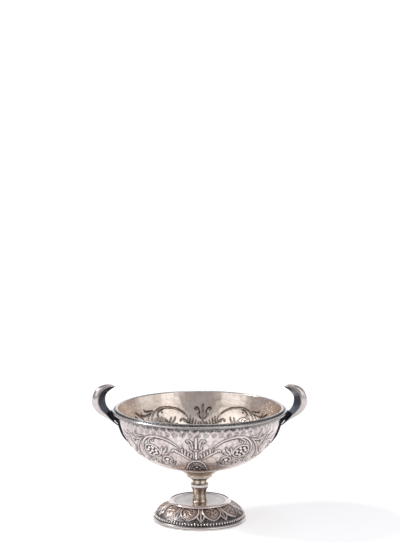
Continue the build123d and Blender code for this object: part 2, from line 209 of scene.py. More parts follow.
# name, bright metal, brown tarnish, black oxide and roughness
chased_silver = silver("oxidised_chased_silver", "#FAF0ED", "#C2A597", "#1D1D26", 0.25,
                       pitting=0.35)
skirt_silver = silver("chased_foot_silver", "#FAF1EE", "#B89D8D", "#16151A", 0.42)
cup_inside_silver = silver("tarnished_silver_inside", "#F8EDE3", "#CBB4A4", "#2A1F19", 0.27,
                           brown_amount=0.5, blotch_mm=14, pitting=0.2)
polished_silver = silver("polished_sterling_silver", "#E4DEDC", "#B9A99D", "#1A1B22", 0.15)
warm_silver = silver("bronzed_silver", "#FFEBD6", "#DFC1A6", "#241D19", 0.16, brown_amount=0.4)
# the calyx's copy of bronzed silver is paler: painted light that makes up for the bowl's shade above
# it
calyx_silver = silver("bronzed_silver_calyx", "#FFF4E4", "#F0D4B8", "#241D19", 0.33,
                      brown_amount=0.4)
# the handles' black is slate tarnish, and also painted shade on their cheeks
horn_silver = silver("polished_silver_with_slate_tarnish_and_shade", "#DCD6D3", "#AA9C91", "#525661", 0.19)
black_silver = silver("blackened_silver", "#5B5A62", "#443C37", "#101015", 0.3)

# %% [markdown]
# ## Arcs, smooth lines and turned pieces
#
# Most of the cup is turned or raised round one axis. A silversmith works from a profile, and so does
# this script: a profile is a closed list of points, radius and height in millimetres, with a third
# number for how black it is there: the tarnish that the polish leaves, and on some pieces painted
# shade. Spinning it gives a closed shell, whose faces meet again at the seam.

# %% Profiles and the lathe
def arc(start, end, bulge, steps=10):
    """Points of an arc whose middle lies a bulge to the left of the way from start to end. With a
    negative bulge it lies to the right, and the points come in the order from end to start."""
    start, end = np.array(start, float), np.array(end, float)
    chord = end - start
    length = np.hypot(*chord)
    left = np.array([-chord[1], chord[0]]) / length
    radius = (length ** 2 / 4 + bulge ** 2) / (2 * abs(bulge))
    half = asin(min(1.0, length / 2 / radius))
    if abs(bulge) > length / 2:
        half = pi - half
    side = np.sign(bulge)
    centre = (start + end) / 2 - left * side * (radius * cos(half))
    made = []
    for step in range(steps + 1):
        turn = half - 2 * half * step / steps
        made.append(centre + side * radius * (left * cos(turn) - chord / length * sin(turn)))
    return [tuple(p) for p in made]


def with_oxide(points, oxide):
    """Points of a profile with their black: one number for all of them, or one for each."""
    return [(p[0], p[1], dark) for p, dark in zip(points, np.broadcast_to(oxide, len(points)))]


SAME_PLACE = 1e-6


def spin(name, profile, columns=192, smooth_angle=40):
    """Turn a closed profile of (radius, height, oxide and painted shade) round the axis; the third
    may be left out.
    """
    kept = []
    for row in profile:
        if not kept or abs(row[0] - kept[-1][0]) + abs(row[1] - kept[-1][1]) > SAME_PLACE:
            kept.append(row if len(row) == 3 else (*row, 0.0))
    if sum(a[0] * b[1] - b[0] * a[1] for a, b in zip(kept, kept[1:] + kept[:1])) < 0:
        kept.reverse()
    angles = np.linspace(0, 2 * pi, columns, endpoint=False)
    points = [(radius * cos(a), radius * sin(a), height)
              for radius, height, _ in kept for a in angles]
    faces = ring_quads(len(kept), columns, closed=True)[:, [0, 3, 2, 1]].tolist()
    oxide = np.repeat([dark for _, _, dark in kept], columns)
    return mesh_object(name, points, faces, smooth_angle, oxide=oxide)


# %% [markdown]
# ## Camera, floor and lamps
#
# The photograph is a product shot: a long lens, a little above the cup, on a white sweep, with a
# low key light from the left. Metal shows what surrounds it, so the other lamps are big soft panels,
# and the world is a plain grey that leaves the front of the cup darker than the floor below it.

# %% Camera
CAMERA_BACK = 1.2650
CAMERA_UP = 0.3393
CAMERA_ASIDE = 0.0003
CAMERA_PITCH = 7.75
LENS_MM, SENSOR_MM = 120.6, 36
camera_data = bpy.data.cameras.new("camera")
camera_data.lens, camera_data.sensor_width = LENS_MM, SENSOR_MM
camera = put("camera", camera_data)
camera.location = (CAMERA_ASIDE, -CAMERA_BACK, CAMERA_UP)
camera.rotation_euler = (radians(90 - CAMERA_PITCH), 0, 0)
bpy.context.scene.camera = camera
bpy.context.scene.view_settings.view_transform = "Standard"

# %% Floor, backdrop and world. Sizes in metres
FLOOR_HALF = 15.0
BACKDROP_AWAY = BACKDROP_HALF = 3.0
BACKDROP_HEIGHT = 3.2
# how far from the cup the paper's own glow starts to grow and is full, and how strong it is near by
GLOW_FROM, GLOW_TO, GLOW_NEAR = 0.9, 2.6, 0.58


def paper(name, colour):
    """Matt paper that also glows where a camera, mirrored or transmitted ray meets it, and more so
    away from the cup. So no seam shows where floor and backdrop meet, and the glow lights nothing."""
    made = bpy.data.materials.new(name)
    tree = empty_tree(made)
    rays = add_node(tree, "ShaderNodeLightPath").outputs
    seen = maths(tree, "MAXIMUM", rays["Is Camera Ray"], rays["Is Glossy Ray"])
    seen = maths(tree, "MAXIMUM", seen, rays["Is Transmission Ray"])
    place = add_node(tree, "ShaderNodeTexCoord").outputs["Object"]
    away = add_node(tree, "ShaderNodeVectorMath", {"operation": "LENGTH"}, i0=place)
    growth = ramp(tree, away.outputs["Value"], GLOW_FROM, GLOW_TO, GLOW_NEAR, 1.0)
    matt = add_node(tree, "ShaderNodeBsdfDiffuse", Color=linear(colour))
    glow = add_node(tree, "ShaderNodeEmission", Color=linear("#FFFFFF"),
                    Strength=maths(tree, "MULTIPLY", seen, growth))
    both = add_node(tree, "ShaderNodeAddShader", i0=matt.outputs[0], i1=glow.outputs[0])
    add_node(tree, "ShaderNodeOutputMaterial", Surface=both.outputs["Shader"])
    return made


def stage_sheet(name, corners, material):
    """One flat sheet of the set."""
    mesh = bpy.data.meshes.new(name)
    mesh.from_pydata(corners, [], [(0, 1, 2, 3)])
    mesh.materials.append(material)
    put(name, mesh)


stage_sheet("floor", [(x * FLOOR_HALF, y * FLOOR_HALF, 0)
                      for x, y in ((-1, -1), (1, -1), (1, 1), (-1, 1))],
            paper("white_paper_sweep", "#CFCFD1"))
stage_sheet("backdrop", [(x * BACKDROP_HALF, BACKDROP_AWAY, z * BACKDROP_HEIGHT)
                         for x, z in ((-1, 0), (-1, 1), (1, 1), (1, 0))],
            paper("lit_white_backdrop", "#A4A4A6"))
world = bpy.data.worlds.new("studio")
bpy.context.scene.world = world
tree = empty_tree(world)
grey = add_node(tree, "ShaderNodeBackground", Color=linear("#A3A2A6"), Strength=1.0)
add_node(tree, "ShaderNodeOutputWorld", Surface=grey.outputs[0])

# %% Lamps. Places and sizes in metres, power in watts
LAMP_AIM = Vector((0, 0, 0.05))
KEY_WAY = Vector((0.766, -0.06, -0.643))
KEY_POWER, KEY_SPREAD = 1.6, radians(9)


def facing(way):
    return way.to_track_quat("-Z", "Y").to_euler()


key_data = bpy.data.lights.new("key_from_the_left", "SUN")
key_data.energy, key_data.angle = KEY_POWER, KEY_SPREAD
put("key_from_the_left", key_data).rotation_euler = facing(KEY_WAY)
for name, place, size, power in (("window_right", (0.797, -0.743, 0.78), (0.62, 1.15), 2.5),
                                 ("window_left", (-0.916, -0.665, 0.8), (1.0, 1.15), 3.5),
                                 ("overhead_front", (0, -0.9, 1.25), (1.2, 0.6), 0.7),
                                 ("fill_right", (1.3, -0.1, 0.5), (1.0, 0.7), 1.4),
                                 ("top", (0.1, 0.2, 1.3), (0.5, 0.5), 1.2)):
    panel = bpy.data.lights.new(name, "AREA")
    panel.shape, panel.energy = "RECTANGLE", power
    panel.size, panel.size_y = size
    lamp = put(name, panel)
    lamp.location = place
    lamp.rotation_euler = facing(LAMP_AIM - Vector(place))

# %% [markdown]
# ## The ornament, drawn flat
#
# The bowl's chasing is a palmette in the middle, a fan of leaves on each side of it, a long vine
# that rolls round a seeded rosette, and small scrolls below. A chaser draws it flat first and then
# transfers it, and this script does the same: x runs round the bowl from the middle of the motif, y
# runs down the wall from the mouth, both in millimetres. Only one half is drawn. It is mirrored, and
# the whole motif comes twice, in front and at the back.

# %% Smooth lines and soft steps
def between(four, t):
    """The Catmull-Rom curve between the second and the third of four points."""
    a, b, c, d = four
    return 0.5 * (2 * b + (c - a) * t + (2 * a - 5 * b + 4 * c - d) * t ** 2
                  + (3 * b - a - 3 * c + d) * t ** 3)


def with_ends(points):
    """The points and one more past each end, so that the curve reaches the ends."""
    return np.vstack([2 * points[0] - points[1], points, 2 * points[-1] - points[-2]])


def smooth_line(points, spacing=0.4, closed=False):
    """A line through the points, sampled about every spacing."""
    points = np.array(points, float)
    padded = np.vstack([points[-1], points, points[:2]]) if closed else with_ends(points)
    made = []
    for four in zip(padded, padded[1:], padded[2:], padded[3:]):
        steps = max(2, int(np.hypot(*(four[2] - four[1])) / spacing))
        made.append(between(four, np.linspace(0, 1, steps, endpoint=False)[:, None]))
    return np.vstack(made if closed else made + [points[-1]])


def step(value, width):
    """Nought where the value is below zero and one where it is above, with a soft edge."""
    return 1 / (1 + np.exp(np.clip(-value / width, -30, 30)))


def band(value, width):
    """One where the value is zero, fading away on both sides."""
    return np.exp(-(value / width) ** 2)


# %% Strokes of the half motif
DRAWING_DROP = 0.5
ROSETTE_CENTRE = np.array((31.6, 21.4))
ROSETTE_LONG = np.array((5.9, -2.9))
ROSETTE_SHORT = np.array((2.1, 4.2))
ROSETTE_BORDER_WIDTH = 1.05
POINT_REACH = 0.42
THINNEST = 0.06


def on_rosette(share, turn):
    return ROSETTE_CENTRE + share * (ROSETTE_LONG * cos(turn) + ROSETTE_SHORT * sin(turn))


# both ends, round (r) or pointed (p), then the widest width and the points
strokes = [
    # the palmette's stem and its curls
    ("rr", 1.35, (0, 8.4), (0, 11), (0, 14), (0, 17.2)),
    ("pr", 0.8, (2.1, 18.6), (2.3, 15.8), (2.7, 13.0), (3.5, 11.2), (4.8, 10.4), (5.9, 10.9),
     (6.1, 11.9)),
    ("pp", 0.75, (2.4, 17.8), (3.5, 16.6), (4.0, 15.0)),
    ("rr", 1.3, (0, 19.8), (0, 23.0), (0, 26.8)),
    ("pp", 0.6, (1.75, 21.4), (1.75, 24.0), (1.7, 26.6)),
    # the fan: a stalk that hooks over, and slanting leaves above it
    ("pr", 1.05, (1.8, 27.8), (3.9, 27.1), (6.3, 24.8), (8.8, 22.8), (11.4, 21.1), (13.0, 19.7),
     (14.7, 18.7), (16.1, 19.2), (16.2, 20.4)),
    ("pp", 1.0, (3.6, 26.0), (3.5, 23.6), (2.9, 21.2)),
    ("pp", 1.0, (5.5, 24.5), (5.5, 22.2), (4.9, 19.8)),
    ("pp", 1.0, (7.3, 23.0), (7.5, 20.8), (7.0, 18.4)),
    ("pp", 1.0, (9.1, 21.6), (9.4, 19.4), (9.1, 16.8)),
    # the vine and the leaf outside it
    ("pp", 1.2, (10.6, 20.6), (11.6, 17.2), (14.9, 13.8), (18.6, 11.5), (22.0, 10.3), (25.8, 9.7),
     (29.6, 9.4), (33.4, 9.9), (36.8, 11.6), (39.2, 14.6), (40.2, 18.6), (39.4, 22.8),
     (36.8, 26.2), (32.6, 28.4)),
    ("pp", 1.1, (38.8, 11.2), (42.4, 14.2), (45.0, 18.9), (45.8, 23.6), (45.0, 27.2), (42.4, 30.6)),
    ("pr", 0.8, (29.4, 10.4), (32.2, 11.1), (34.2, 12.5), (34.8, 14.3), (33.6, 15.0)),
    # leaves beside and under the rosette
    ("pp", 1.2, (23.6, 25.6), (22.6, 21.6), (20.9, 18.8), (20.5, 16.6)),
    ("pp", 1.0, (24.2, 23.6), (24.3, 20.0), (23.3, 16.8)),
    ("pp", 0.9, (22.4, 24.4), (20.6, 22.6), (18.6, 21.9)),
    ("pp", 1.0, (35.6, 27.2), (35.0, 30.0), (33.0, 33.0)),
    ("pp", 1.0, (35.0, 29.6), (36.6, 31.4), (37.2, 33.6)),
    # the small scroll, and the scroll with a bud below it
    ("pr", 1.0, (16.6, 32.0), (16.6, 28.4), (18.0, 25.8), (20.4, 24.9), (22.7, 26.3), (23.3, 29.0),
     (21.8, 31.0)),
    ("pr", 1.0, (14.2, 30.0), (15.4, 33.6), (18.6, 36.0), (23.4, 36.6), (28.2, 34.6), (30.6, 31.6),
     (29.8, 29.6)),
    ("pr", 0.9, (24.8, 32.8), (26.4, 30.6), (28.4, 31.0), (28.2, 33.0)),
    ("pp", 0.9, (19.0, 33.6), (21.4, 32.4), (23.4, 33.8)),
    # the medallion at the bottom
    ("rp", 1.1, (0, 28.5), (2.6, 29.2), (4.6, 31.6), (5.7, 35.2), (6.4, 39.4), (6.8, 44)),
    ("rp", 0.8, (0, 33.0), (1.8, 33.8), (3.1, 36.4), (3.8, 40.4)),
    # sprigs towards the handle
    ("pp", 0.95, (40.2, 12.0), (43.0, 12.9), (46.4, 13.7), (49.6, 12.6), (50.6, 10.2)),
    ("pp", 0.85, (38.8, 10.5), (43.4, 10.8), (46.8, 10.0), (47.6, 8.8)),
    ("pp", 1.0, (48.0, 15.6), (51.4, 12.9), (57.2, 9.6)),
    ("pr", 1.1, (45.4, 24.0), (50.4, 19.4), (56.6, 17.0), (62.6, 17.6), (65.6, 20.8), (64.6, 24.4),
     (61.2, 25.2), (59.6, 22.8)),
    ("pp", 1.1, (56.4, 16.6), (60.0, 13.4), (65.4, 11.0)),
    ("pp", 1.1, (53.6, 18.0), (54.8, 14.6), (57.8, 12.2)),
    ("pp", 1.1, (62.8, 17.2), (67.4, 15.6), (72.4, 15.4)),
    ("pp", 1.2, (49.0, 20.8), (50.2, 25.0), (54.0, 28.4)),
    ("pp", 1.1, (45.0, 28.0), (49.6, 30.4), (54.6, 31.0)),
]
# beads: place and radius
beads = [(ROSETTE_CENTRE, 1.2)]
beads += [(on_rosette(0.59, 2 * pi * (k + 0.5) / 7), 1.15) for k in range(7)]
beads += [(np.array(place), radius) for place, radius in [
    ((0.85, 18.5), 0.6), ((5.0, 12.2), 0.45), ((20.0, 28.2), 1.3), ((20.0, 31.0), 0.65),
    ((25.6, 35.0), 0.6), ((0, 31.0), 0.7), ((1.7, 31.6), 0.6), ((3.1, 33.0), 0.6),
    ((4.1, 35.2), 0.6), ((4.8, 37.8), 0.6), ((0, 36.8), 1.0), ((1.9, 39.6), 0.7),
    ((13.4, 20.2), 0.6), ((62.0, 21.2), 1.1), ((31.0, 12.6), 0.5)]]


def stroke_widths(line, width, ends):
    """Half widths along a line: full in the middle, and pointed or rounded off at each end."""
    run = np.concatenate([[0], np.cumsum(np.hypot(*np.diff(line, axis=0).T))])
    share = run / run[-1]
    end_share = np.where(share < 0.5, share, 1 - share)
    pointed = np.where(share < 0.5, ends[0] == "p", ends[1] == "p")
    swell = np.clip(end_share / np.where(pointed, POINT_REACH, width / run[-1] / 2), 0, 1)
    full = np.where(pointed, np.sin(swell * pi / 2) ** 0.8, np.sqrt(1 - (1 - swell) ** 2))
    return np.maximum(width / 2 * full, THINNEST)


lines = []
for ends, width, *points in strokes:
    line = smooth_line(points)
    lines.append((line, stroke_widths(line, width, ends), False))
border = smooth_line([on_rosette(1.0, 2 * pi * k / 16) for k in range(16)], closed=True)
lines.append((border, np.full(len(border), ROSETTE_BORDER_WIDTH / 2), True))
print("strokes in the half motif:", len(lines), "beads:", len(beads))

# %% [markdown]
# ## Depth of the chasing
#
# The chaser sinks the ground next to each line, and tarnish stays there. For any place on the wall,
# this helper gives the distance to the edge of the nearest stroke or bead. It is negative on the
# raised line, and just above zero lies the dark groove.

# %% Distance to the ornament
samples = np.vstack([line for line, _, _ in lines] + [[place] for place, _ in beads])
reaches = np.concatenate([half for _, half, _ in lines] + [[radius] for _, radius in beads])
AT_ONCE = 64


def edge_distance(x, y):
    """Distance in mm from each flat place to the nearest stroke's edge."""
    found = np.full(x.shape, np.inf)
    for start in range(0, len(samples), AT_ONCE):
        sample, reach = samples[start:start + AT_ONCE], reaches[start:start + AT_ONCE]
        gap = np.hypot(x[..., None] - sample[:, 0], y[..., None] - sample[:, 1]) - reach
        found = np.minimum(found, gap.min(axis=-1))
    return found


# %% [markdown]
# ## The bowl
#
# The bowl is raised from one sheet: a flat round floor, then a quarter circle up to the mouth. Its
# outside and its inside are made as two thin closed shells, back to back, because each needs a mesh
# fine enough to carry real chasing. The outside is lifted where the ornament stands out, and the
# inside is pushed out at the same places, as the back of chased work is. The hammer leaves rows of
# round marks under the rim and smaller facets all over the inside.

# %% Sizes that the bowl's pieces share
BELLY = 39.5
FLOOR_RADIUS = 16.3
BELLY_HEIGHT = 78.0
WALL = 1.0
FLARE = radians(14)
MOUTH_RISE = 0.3
FLARE_LENGTH = (BELLY * sin(FLARE) + MOUTH_RISE) / cos(FLARE)
MOUTH_HEIGHT = BELLY_HEIGHT + MOUTH_RISE
MOUTH_RADIUS = FLOOR_RADIUS + BELLY * cos(FLARE) + FLARE_LENGTH * sin(FLARE)
WALL_LENGTH = FLARE_LENGTH + BELLY * (pi / 2 - FLARE)
MOTIF_TURN = radians(-2.6)
FRONT = -pi / 2 + MOTIF_TURN
COLUMNS = 660
BACK_ROWS = 8
HAMMER_PITCH = 5.43
HAMMER_ROWS = ((3.0, 2.75), (7.5, 1.65))
HAMMER_PHASE = 0.3
HAMMER_EDGE = 0.09


def wall_frame(down):
    """Radius and height on the wall's outside, a distance down from the mouth, and the way out."""
    down = np.asarray(down, float)
    turn = np.clip(FLARE + (down - FLARE_LENGTH) / BELLY, FLARE, pi / 2)
    slide = np.maximum(FLARE_LENGTH - down, 0)
    floor_step = np.maximum(down - WALL_LENGTH, 0)
    radius = FLOOR_RADIUS + BELLY * np.cos(turn) + slide * sin(FLARE) - floor_step
    height = BELLY_HEIGHT - BELLY * np.sin(turn) + slide * cos(FLARE)
    return np.maximum(radius, 0), height, np.cos(turn), -np.sin(turn)


def on_bowl(angle, down, lift):
    """Places on the wall, lifted square to it by a distance that may change from place to place."""
    radius, height, out, up = wall_frame(down)
    radius = np.maximum(radius + out * lift, 0)
    height = height + up * lift + 0 * radius
    return np.stack([radius * np.cos(angle), radius * np.sin(angle), height], axis=-1)


def hammer_row_marks(row):
    """Round, shallow marks in one of two staggered rows under the rim, as a share of their depth."""
    count = round(2 * pi * MOUTH_RADIUS / HAMMER_PITCH)
    height, radius = HAMMER_ROWS[row]
    turn = (angle_grid - FRONT) / (2 * pi) * count - HAMMER_PHASE + (1 - row) / 2
    across = (turn - np.round(turn)) * 2 * pi / count * wall_frame(down_grid)[0]
    reach = np.hypot(across, down_grid - height) / radius
    return step(1 - reach, HAMMER_EDGE), reach


# %% Planishing facets
BLOW_SHIFT_AROUND, BLOW_SHIFT_DOWN = 0.3, 0.25
BLOW_ROWS = 0.8


def planish(lift, pitch, seed):
    """How far each place of the wall lies from the nearest hammer blow, squared and as a share of
    half the pitch. The blows are set at random."""
    chance = np.random.default_rng(seed)
    blows = []
    for height in np.arange(0, WALL_LENGTH + FLOOR_RADIUS, pitch * BLOW_ROWS):
        radius = max(wall_frame(height)[0], 0.5)
        count = max(1, int(2 * pi * radius / pitch))
        shifts = chance.uniform(-BLOW_SHIFT_AROUND, BLOW_SHIFT_AROUND, count) + chance.uniform()
        blows += [(turn, height + chance.uniform(-BLOW_SHIFT_DOWN, BLOW_SHIFT_DOWN) * pitch)
                  for turn in (np.arange(count) + shifts) * 2 * pi / count]
    blows = np.array(blows)
    tree = kdtree.KDTree(len(blows))
    for index, point in enumerate(on_bowl(blows[:, 0], blows[:, 1], lift)):
        tree.insert(point, index)
    tree.balance()
    targets = on_bowl(angle_grid.ravel(), down_grid.ravel(), lift)
    nearest = np.array([tree.find(point)[2] for point in targets]).reshape(angle_grid.shape)
    return (nearest / pitch * 2) ** 2


# %% The grid, and where its places lie in the ornament
FINE_ROW, COARSE_ROW, COLUMN_STEP = 0.37, 1.3, 0.54
ORNAMENT_END = 44
LAST_ROW = WALL_LENGTH + FLOOR_RADIUS - 0.6
downs = np.concatenate([np.arange(0, ORNAMENT_END, FINE_ROW),
                        np.arange(ORNAMENT_END, WALL_LENGTH, COARSE_ROW),
                        np.linspace(WALL_LENGTH, LAST_ROW, 5)])
angles = FRONT + np.linspace(0, 2 * pi, COLUMNS, endpoint=False)
angle_grid, down_grid = np.meshgrid(angles, downs)
# fold the angle into one half of one motif
from_motif = np.abs((angle_grid - FRONT + pi / 2) % pi - pi / 2)
flat_x = from_motif * wall_frame(np.minimum(down_grid, WALL_LENGTH))[0]
flat_y = down_grid - DRAWING_DROP
gap = edge_distance(flat_x, flat_y)
axes = np.linalg.inv(np.stack([ROSETTE_LONG, ROSETTE_SHORT], axis=1))
local = np.einsum("ij,...j->...i", axes, np.stack([flat_x, flat_y], axis=-1) - ROSETTE_CENTRE)
in_rosette = np.clip((1 - np.hypot(local[..., 0], local[..., 1])) * 6, 0, 1)
arch = np.interp(flat_y, [28.4, 29.3, 31.8, 35.2, 39.5, 44], [0, 2.6, 4.6, 5.7, 6.4, 6.8], left=-9)
in_medallion = step(arch - flat_x, 0.2)
fade = np.clip((46 - down_grid) / 3, 0, 1)

# %% Lines, grooves and hammer marks, each as a share from nought to one
raised, raised_inside = step(-gap, 0.16), step(0.2 - gap, 0.16)
plain = 1 - raised
groove_and_shade = band(gap - 0.4, 0.38)
near = np.exp(-np.maximum(gap, 0) / 1.1)
# the groove is deeper under a line than above it, and blacker there: the extra black is painted
# shade, as of light falling from above
rise_down, rise_around = np.gradient(gap)
steepness = np.hypot(rise_down / FINE_ROW, rise_around / COLUMN_STEP) * FINE_ROW
groove_and_shade *= np.clip(0.8 + 0.35 * (rise_down / np.maximum(steepness, 1e-6)), 0.4, 1.15)
free = 1 - np.clip(1.5 - gap, 0, 1)
touching, touching_reach = hammer_row_marks(0)
single, single_reach = hammer_row_marks(1)
touching, single = touching * free, single * free
single_ring = band(single_reach - 1, 0.16) * free
outer_facets, inner_facets = planish(0, 3.4, 5), planish(-WALL, 5.0, 11)
print("rows and columns on each side of the bowl:", angle_grid.shape)


# %% How far each place stands out, and how black and how warm it is
LINE_RISE, GROOVE_DEPTH, GROUND_DEPTH, MARK_DEPTH, FACET_DEPTH = 0.5, 0.28, 0.12, 0.1, 0.035
INSIDE_RISE, INSIDE_GROOVE, INSIDE_FACET = 0.2, 0.05, 0.05
# the sides, which face the handles, keep less black
lighter = 1 - 0.35 * np.cos(angle_grid) ** 2
lift_out = (LINE_RISE * raised - GROOVE_DEPTH * groove_and_shade
            - GROUND_DEPTH * np.maximum(in_rosette, in_medallion) * plain) * fade \
    - MARK_DEPTH * touching * np.clip(touching_reach, 0, 1) - MARK_DEPTH * single \
    + FACET_DEPTH * outer_facets * (1 - single)
oxide_out = (1.25 * groove_and_shade + 0.22 * near + 0.6 * in_rosette + 1.0 * in_medallion) * plain * fade
oxide_out += (0.1 + 0.2 * outer_facets) * plain * np.interp(down_grid, [28, 44], [1, 0.3]) * lighter
oxide_out += (0.62 * touching + 0.32 * single + 0.25 * single_ring) * lighter
# painted shade: the wall is darker just under the rim
oxide_out += 0.3 * band(down_grid, 3.2)
warm_out = np.clip((down_grid - 16) / 50, 0, 0.55) * np.clip(1.4 - np.abs(flat_x) / 28, 0.25, 1)
lift_in = (INSIDE_RISE * raised_inside - INSIDE_GROOVE * groove_and_shade) * fade \
    + INSIDE_FACET * inner_facets - INSIDE_FACET - WALL
oxide_in = (1.1 * band(gap, 0.3) + 0.25 * raised_inside + 0.05 * near) * fade + 0.06 * inner_facets
warm_in = 0.05 + 0.2 * np.abs(np.cos(angle_grid)) ** 3 + 0.2 * np.clip(np.cos(angle_grid), 0, 1)


# %% Build both shells
def shell(name, lift, outward, oxide, warmth):
    """A closed shell: a fine face, and a plain back half way into the wall."""
    front = on_bowl(angle_grid, down_grid, lift)
    back = on_bowl(*np.meshgrid(angles, np.linspace(0, LAST_ROW, BACK_ROWS)), -WALL / 2)
    # the floor's centre closes each side
    poles = [face[-1].mean(axis=0) * (0, 0, 1) for face in (front, back)]
    points = np.vstack([front.reshape(-1, 3), back.reshape(-1, 3), poles])
    column = np.arange(COLUMNS)
    beside = (column + 1) % COLUMNS
    behind, pole = len(downs) * COLUMNS, len(points) - 2
    quads = np.vstack([ring_quads(len(downs), COLUMNS),
                       ring_quads(BACK_ROWS, COLUMNS, behind)[:, ::-1],
                       np.stack([column, beside, behind + beside, behind + column], axis=1)])
    faces = [tuple(q) for q in quads]
    faces += [(behind - COLUMNS + c, pole, behind - COLUMNS + d) for c, d in zip(column, beside)]
    faces += [(pole - COLUMNS + d, pole + 1, pole - COLUMNS + c) for c, d in zip(column, beside)]
    if not outward:
        faces = [f[::-1] for f in faces]
    pad = np.zeros(len(points) - behind)
    return mesh_object(name, points, faces, 60, oxide=np.append(np.clip(oxide, 0, 1), pad),
                       warmth=np.append(warmth, pad))


bowl_outside = shell("bowl_outside", lift_out, True, oxide_out, warm_out)
bowl_inside = shell("bowl_inside", lift_in, False, oxide_in, warm_in)
wear(bowl_outside, chased_silver, "bowl", slot="chased_silver")
wear(bowl_inside, cup_inside_silver, "bowl", slot="chased_silver")

# %% [markdown]
# ## Raised lines and beads of the ornament
#
# Under the grooves the raised lines themselves are crisp and polished. They repeat and follow a
# surface, which is what Geometry Nodes is for. The tree sweeps a round profile along each flat
# line, presses it to a low mound, adds the mirror image, wraps everything on the bowl's wall with
# the same formula as the bowl, and adds the second motif half a turn on.

# %% Helpers for Geometry Nodes
SOCKET_KINDS = {float: "Float", int: "Int", bpy.types.Material: "Material"}


def new_tree(name, **inputs):
    """A tree with a geometry in and out and named inputs, and the sockets that give them."""
    tree = bpy.data.node_groups.new(name, "GeometryNodeTree")
    for side in ("INPUT", "OUTPUT"):
        tree.interface.new_socket(name="Geometry", in_out=side, socket_type="NodeSocketGeometry")
    for title, value in inputs.items():
        tree.interface.new_socket(name=title.replace("_", " "), in_out="INPUT",
                                  socket_type="NodeSocket" + SOCKET_KINDS[type(value)]
                                  ).default_value = value
    return tree, add_node(tree, "NodeGroupInput").outputs


def geo(tree, kind, settings=None, **sockets):
    """Add a Geometry Nodes node and give its first output."""
    return add_node(tree, "GeometryNode" + kind, settings, **sockets).outputs[0]


def vector(tree, **parts):
    return add_node(tree, "ShaderNodeCombineXYZ", **parts).outputs[0]


def join(tree, first, second):
    joined = add_node(tree, "GeometryNodeJoinGeometry", Geometry=first)
    tree.links.new(second, joined.inputs["Geometry"])
    return joined.outputs[0]


def hand_over(tree, geometry, material):
    """End a tree with plain meshes that carry their material."""
    real = geo(tree, "RealizeInstances", Geometry=geometry)
    add_node(tree, "NodeGroupOutput",
             Geometry=geo(tree, "SetMaterial", Geometry=real, Material=material))


def made_by(tree, source):
    """Run a tree on a source object, and put its result in the source's place as a plain mesh."""
    name = source.name
    modifier = source.modifiers.new("made", "NODES")
    modifier.node_group = tree
    bpy.context.view_layer.update()
    evaluated = source.evaluated_get(bpy.context.evaluated_depsgraph_get())
    mesh = bpy.data.meshes.new_from_object(evaluated)
    source.modifiers.remove(modifier)
    bpy.data.objects.remove(source)
    mesh.name = name
    mesh.polygons.foreach_set("use_smooth", [True] * len(mesh.polygons))
    return put(name, mesh)


# %% Node group that wraps flat work on the bowl
wrap, given = new_tree("wrap_on_bowl", Belly_radius=BELLY * MM, Floor_radius=FLOOR_RADIUS * MM,
                       Belly_height=BELLY_HEIGHT * MM, Flare=FLARE,
                       Flare_length=(FLARE_LENGTH - DRAWING_DROP) * MM, Motif_angle=FRONT)
plus, less, times, over, most, sine, cosine = (
    partial(maths, wrap, operation)
    for operation in ("ADD", "SUBTRACT", "MULTIPLY", "DIVIDE", "MAXIMUM", "SINE", "COSINE"))
mirrored = geo(wrap, "Transform", Geometry=given["Geometry"], Scale=(-1, 1, 1))
halves = join(wrap, given["Geometry"], geo(wrap, "FlipFaces", Mesh=mirrored))
flat = add_node(wrap, "ShaderNodeSeparateXYZ", Vector=geo(wrap, "InputPosition")).outputs
past = less(flat["Y"], given["Flare length"])
slide = most(times(past, -1.0), 0.0)
down = plus(over(most(past, 0.0), given["Belly radius"]), given["Flare"])
base_radius = plus(times(sine(given["Flare"]), slide), given["Floor radius"])
wall_top = plus(times(cosine(given["Flare"]), slide), given["Belly height"])
ground_radius = plus(times(cosine(down), given["Belly radius"]), base_radius)
turned = plus(over(flat["X"], ground_radius), given["Motif angle"])
lifted = plus(given["Belly radius"], flat["Z"])
radius = plus(times(cosine(down), lifted), base_radius)
around = vector(wrap, X=times(cosine(turned), radius), Y=times(sine(turned), radius),
                Z=less(wall_top, times(sine(down), lifted)))
wrapped = geo(wrap, "SetPosition", Geometry=halves, Position=around)
second = geo(wrap, "Transform", Geometry=wrapped, Rotation=(0, 0, pi))
add_node(wrap, "NodeGroupOutput", Geometry=join(wrap, wrapped, second))

# %% Raised lines
curve = bpy.data.curves.new("ornament_lines", "CURVE")
curve.dimensions = "3D"
for line, half_widths, closed in lines:
    spline = curve.splines.new("POLY")
    spline.points.add(len(line) - 1)
    places = np.column_stack([line * MM, np.zeros(len(line)), np.ones(len(line))])
    spline.points.foreach_set("co", places.ravel())
    spline.points.foreach_set("radius", half_widths * MM)
    spline.use_cyclic_u = closed
sweep, given = new_tree("raised_lines", Profile_sides=12, Height_share=0.62, Material=chased_silver)
profile = geo(sweep, "CurvePrimitiveCircle", Resolution=given["Profile sides"], Radius=1.0)
swept = geo(sweep, "CurveToMesh", Curve=given["Geometry"], Profile_Curve=profile,
            Scale=geo(sweep, "InputRadius"), Fill_Caps=True)
pressed = add_node(sweep, "ShaderNodeVectorMath", {"operation": "MULTIPLY"},
                   i0=geo(sweep, "InputPosition"),
                   i1=vector(sweep, X=1.0, Y=1.0, Z=given["Height share"])).outputs[0]
pressed = geo(sweep, "SetPosition", Geometry=swept, Position=pressed)
hand_over(sweep, geo(sweep, "Group", {"node_tree": wrap}, Geometry=pressed), given["Material"])
wear(made_by(sweep, put("ornament_lines", curve)), chased_silver, slot="chased_silver")

